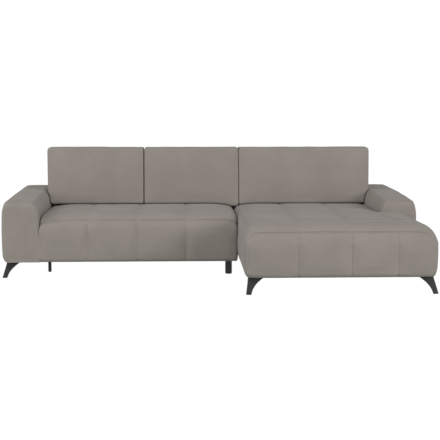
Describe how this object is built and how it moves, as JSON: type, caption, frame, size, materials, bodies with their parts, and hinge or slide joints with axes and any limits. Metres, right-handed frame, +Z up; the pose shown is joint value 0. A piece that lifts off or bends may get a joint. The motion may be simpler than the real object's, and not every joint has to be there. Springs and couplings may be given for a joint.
{
  "type": "corner sofa",
  "caption": "Upholstered corner sofa with a chaise on the right, low padded arms and back blocks that slide front to rear to set the seat depth.",
  "frame": {"origin": "on the floor, under the centre of the overall box", "axes": "+X to the right of someone looking at the front, +Y from the front to the rear, +Z up; the seats face -Y"},
  "size_m": [2.922, 1.8256, 0.888],
  "materials": {
    "upholstery": "smooth close-woven taupe grey",
    "foam": "cut seat foam",
    "spring_wire": "drawn wire",
    "deck_board": "plywood covered in black cloth",
    "lining": "black felted cloth",
    "timber": "planed, unfinished",
    "black_steel": "satin black powder coat",
    "black_plastic": "moulded, matt",
    "nylon": "moulded, natural",
    "zinc_steel": "zinc plated"
  },
  "bodies": {
    "sofa": {"sofa_seat_cover": "upholstery", "sofa_seat_foam": "foam", "sofa_springs": "spring_wire", "sofa_spring_clips": "spring_wire", "sofa_front_rail": "timber", "sofa_spring_rail": "timber", "sofa_rear_rail": "timber", "sofa_side_rails": "timber", "sofa_leg_blocks": "timber", "sofa_rear_deck": "deck_board", "sofa_rear_panel": "upholstery", "sofa_lining": "lining", "sofa_arm_cover": "upholstery", "sofa_arm_frame": "timber", "sofa_front_foot": "black_steel", "sofa_support_leg": "black_steel", "sofa_cylinder_legs": "black_plastic", "sofa_runners": "zinc_steel", "sofa_connector_hooks": "zinc_steel", "chaise_seat_cover": "upholstery", "chaise_seat_foam": "foam", "chaise_springs": "spring_wire", "chaise_spring_clips": "spring_wire", "chaise_front_rail": "timber", "chaise_cross_rail": "timber", "chaise_spring_rail": "timber", "chaise_rear_rail": "timber", "chaise_side_rails": "timber", "chaise_leg_blocks": "timber", "chaise_rear_deck": "deck_board", "chaise_rear_panel": "upholstery", "chaise_lining": "lining", "chaise_arm_cover": "upholstery", "chaise_arm_frame": "timber", "chaise_left_foot": "black_steel", "chaise_right_foot": "black_steel", "chaise_cylinder_legs": "black_plastic", "chaise_runners": "zinc_steel", "chaise_connector_sockets": "zinc_steel", "arm_bolts": "zinc_steel", "foot_screws": "zinc_steel", "floor_glides": "black_plastic"},
    "back_left": {"back_left_cushion": "upholstery", "back_left_frame": "timber", "back_left_webbing": "lining", "back_left_brackets": "zinc_steel", "back_left_carriages": "nylon", "back_left_bolts": "zinc_steel"},
    "back_middle": {"back_middle_cushion": "upholstery", "back_middle_frame": "timber", "back_middle_webbing": "lining", "back_middle_brackets": "zinc_steel", "back_middle_carriages": "nylon", "back_middle_bolts": "zinc_steel"},
    "back_right": {"back_right_cushion": "upholstery", "back_right_frame": "timber", "back_right_webbing": "lining", "back_right_brackets": "zinc_steel", "back_right_carriages": "nylon", "back_right_bolts": "zinc_steel"}
  },
  "joints": [
    {"name": "back_left_slide", "type": "slide", "parent": "sofa", "child": "back_left", "axis": [0, 1, 0], "range_m": [0, 0.18]},
    {"name": "back_middle_slide", "type": "slide", "parent": "sofa", "child": "back_middle", "axis": [0, 1, 0], "range_m": [0, 0.18]},
    {"name": "back_right_slide", "type": "slide", "parent": "sofa", "child": "back_right", "axis": [0, 1, 0], "range_m": [0, 0.18]}
  ]
}
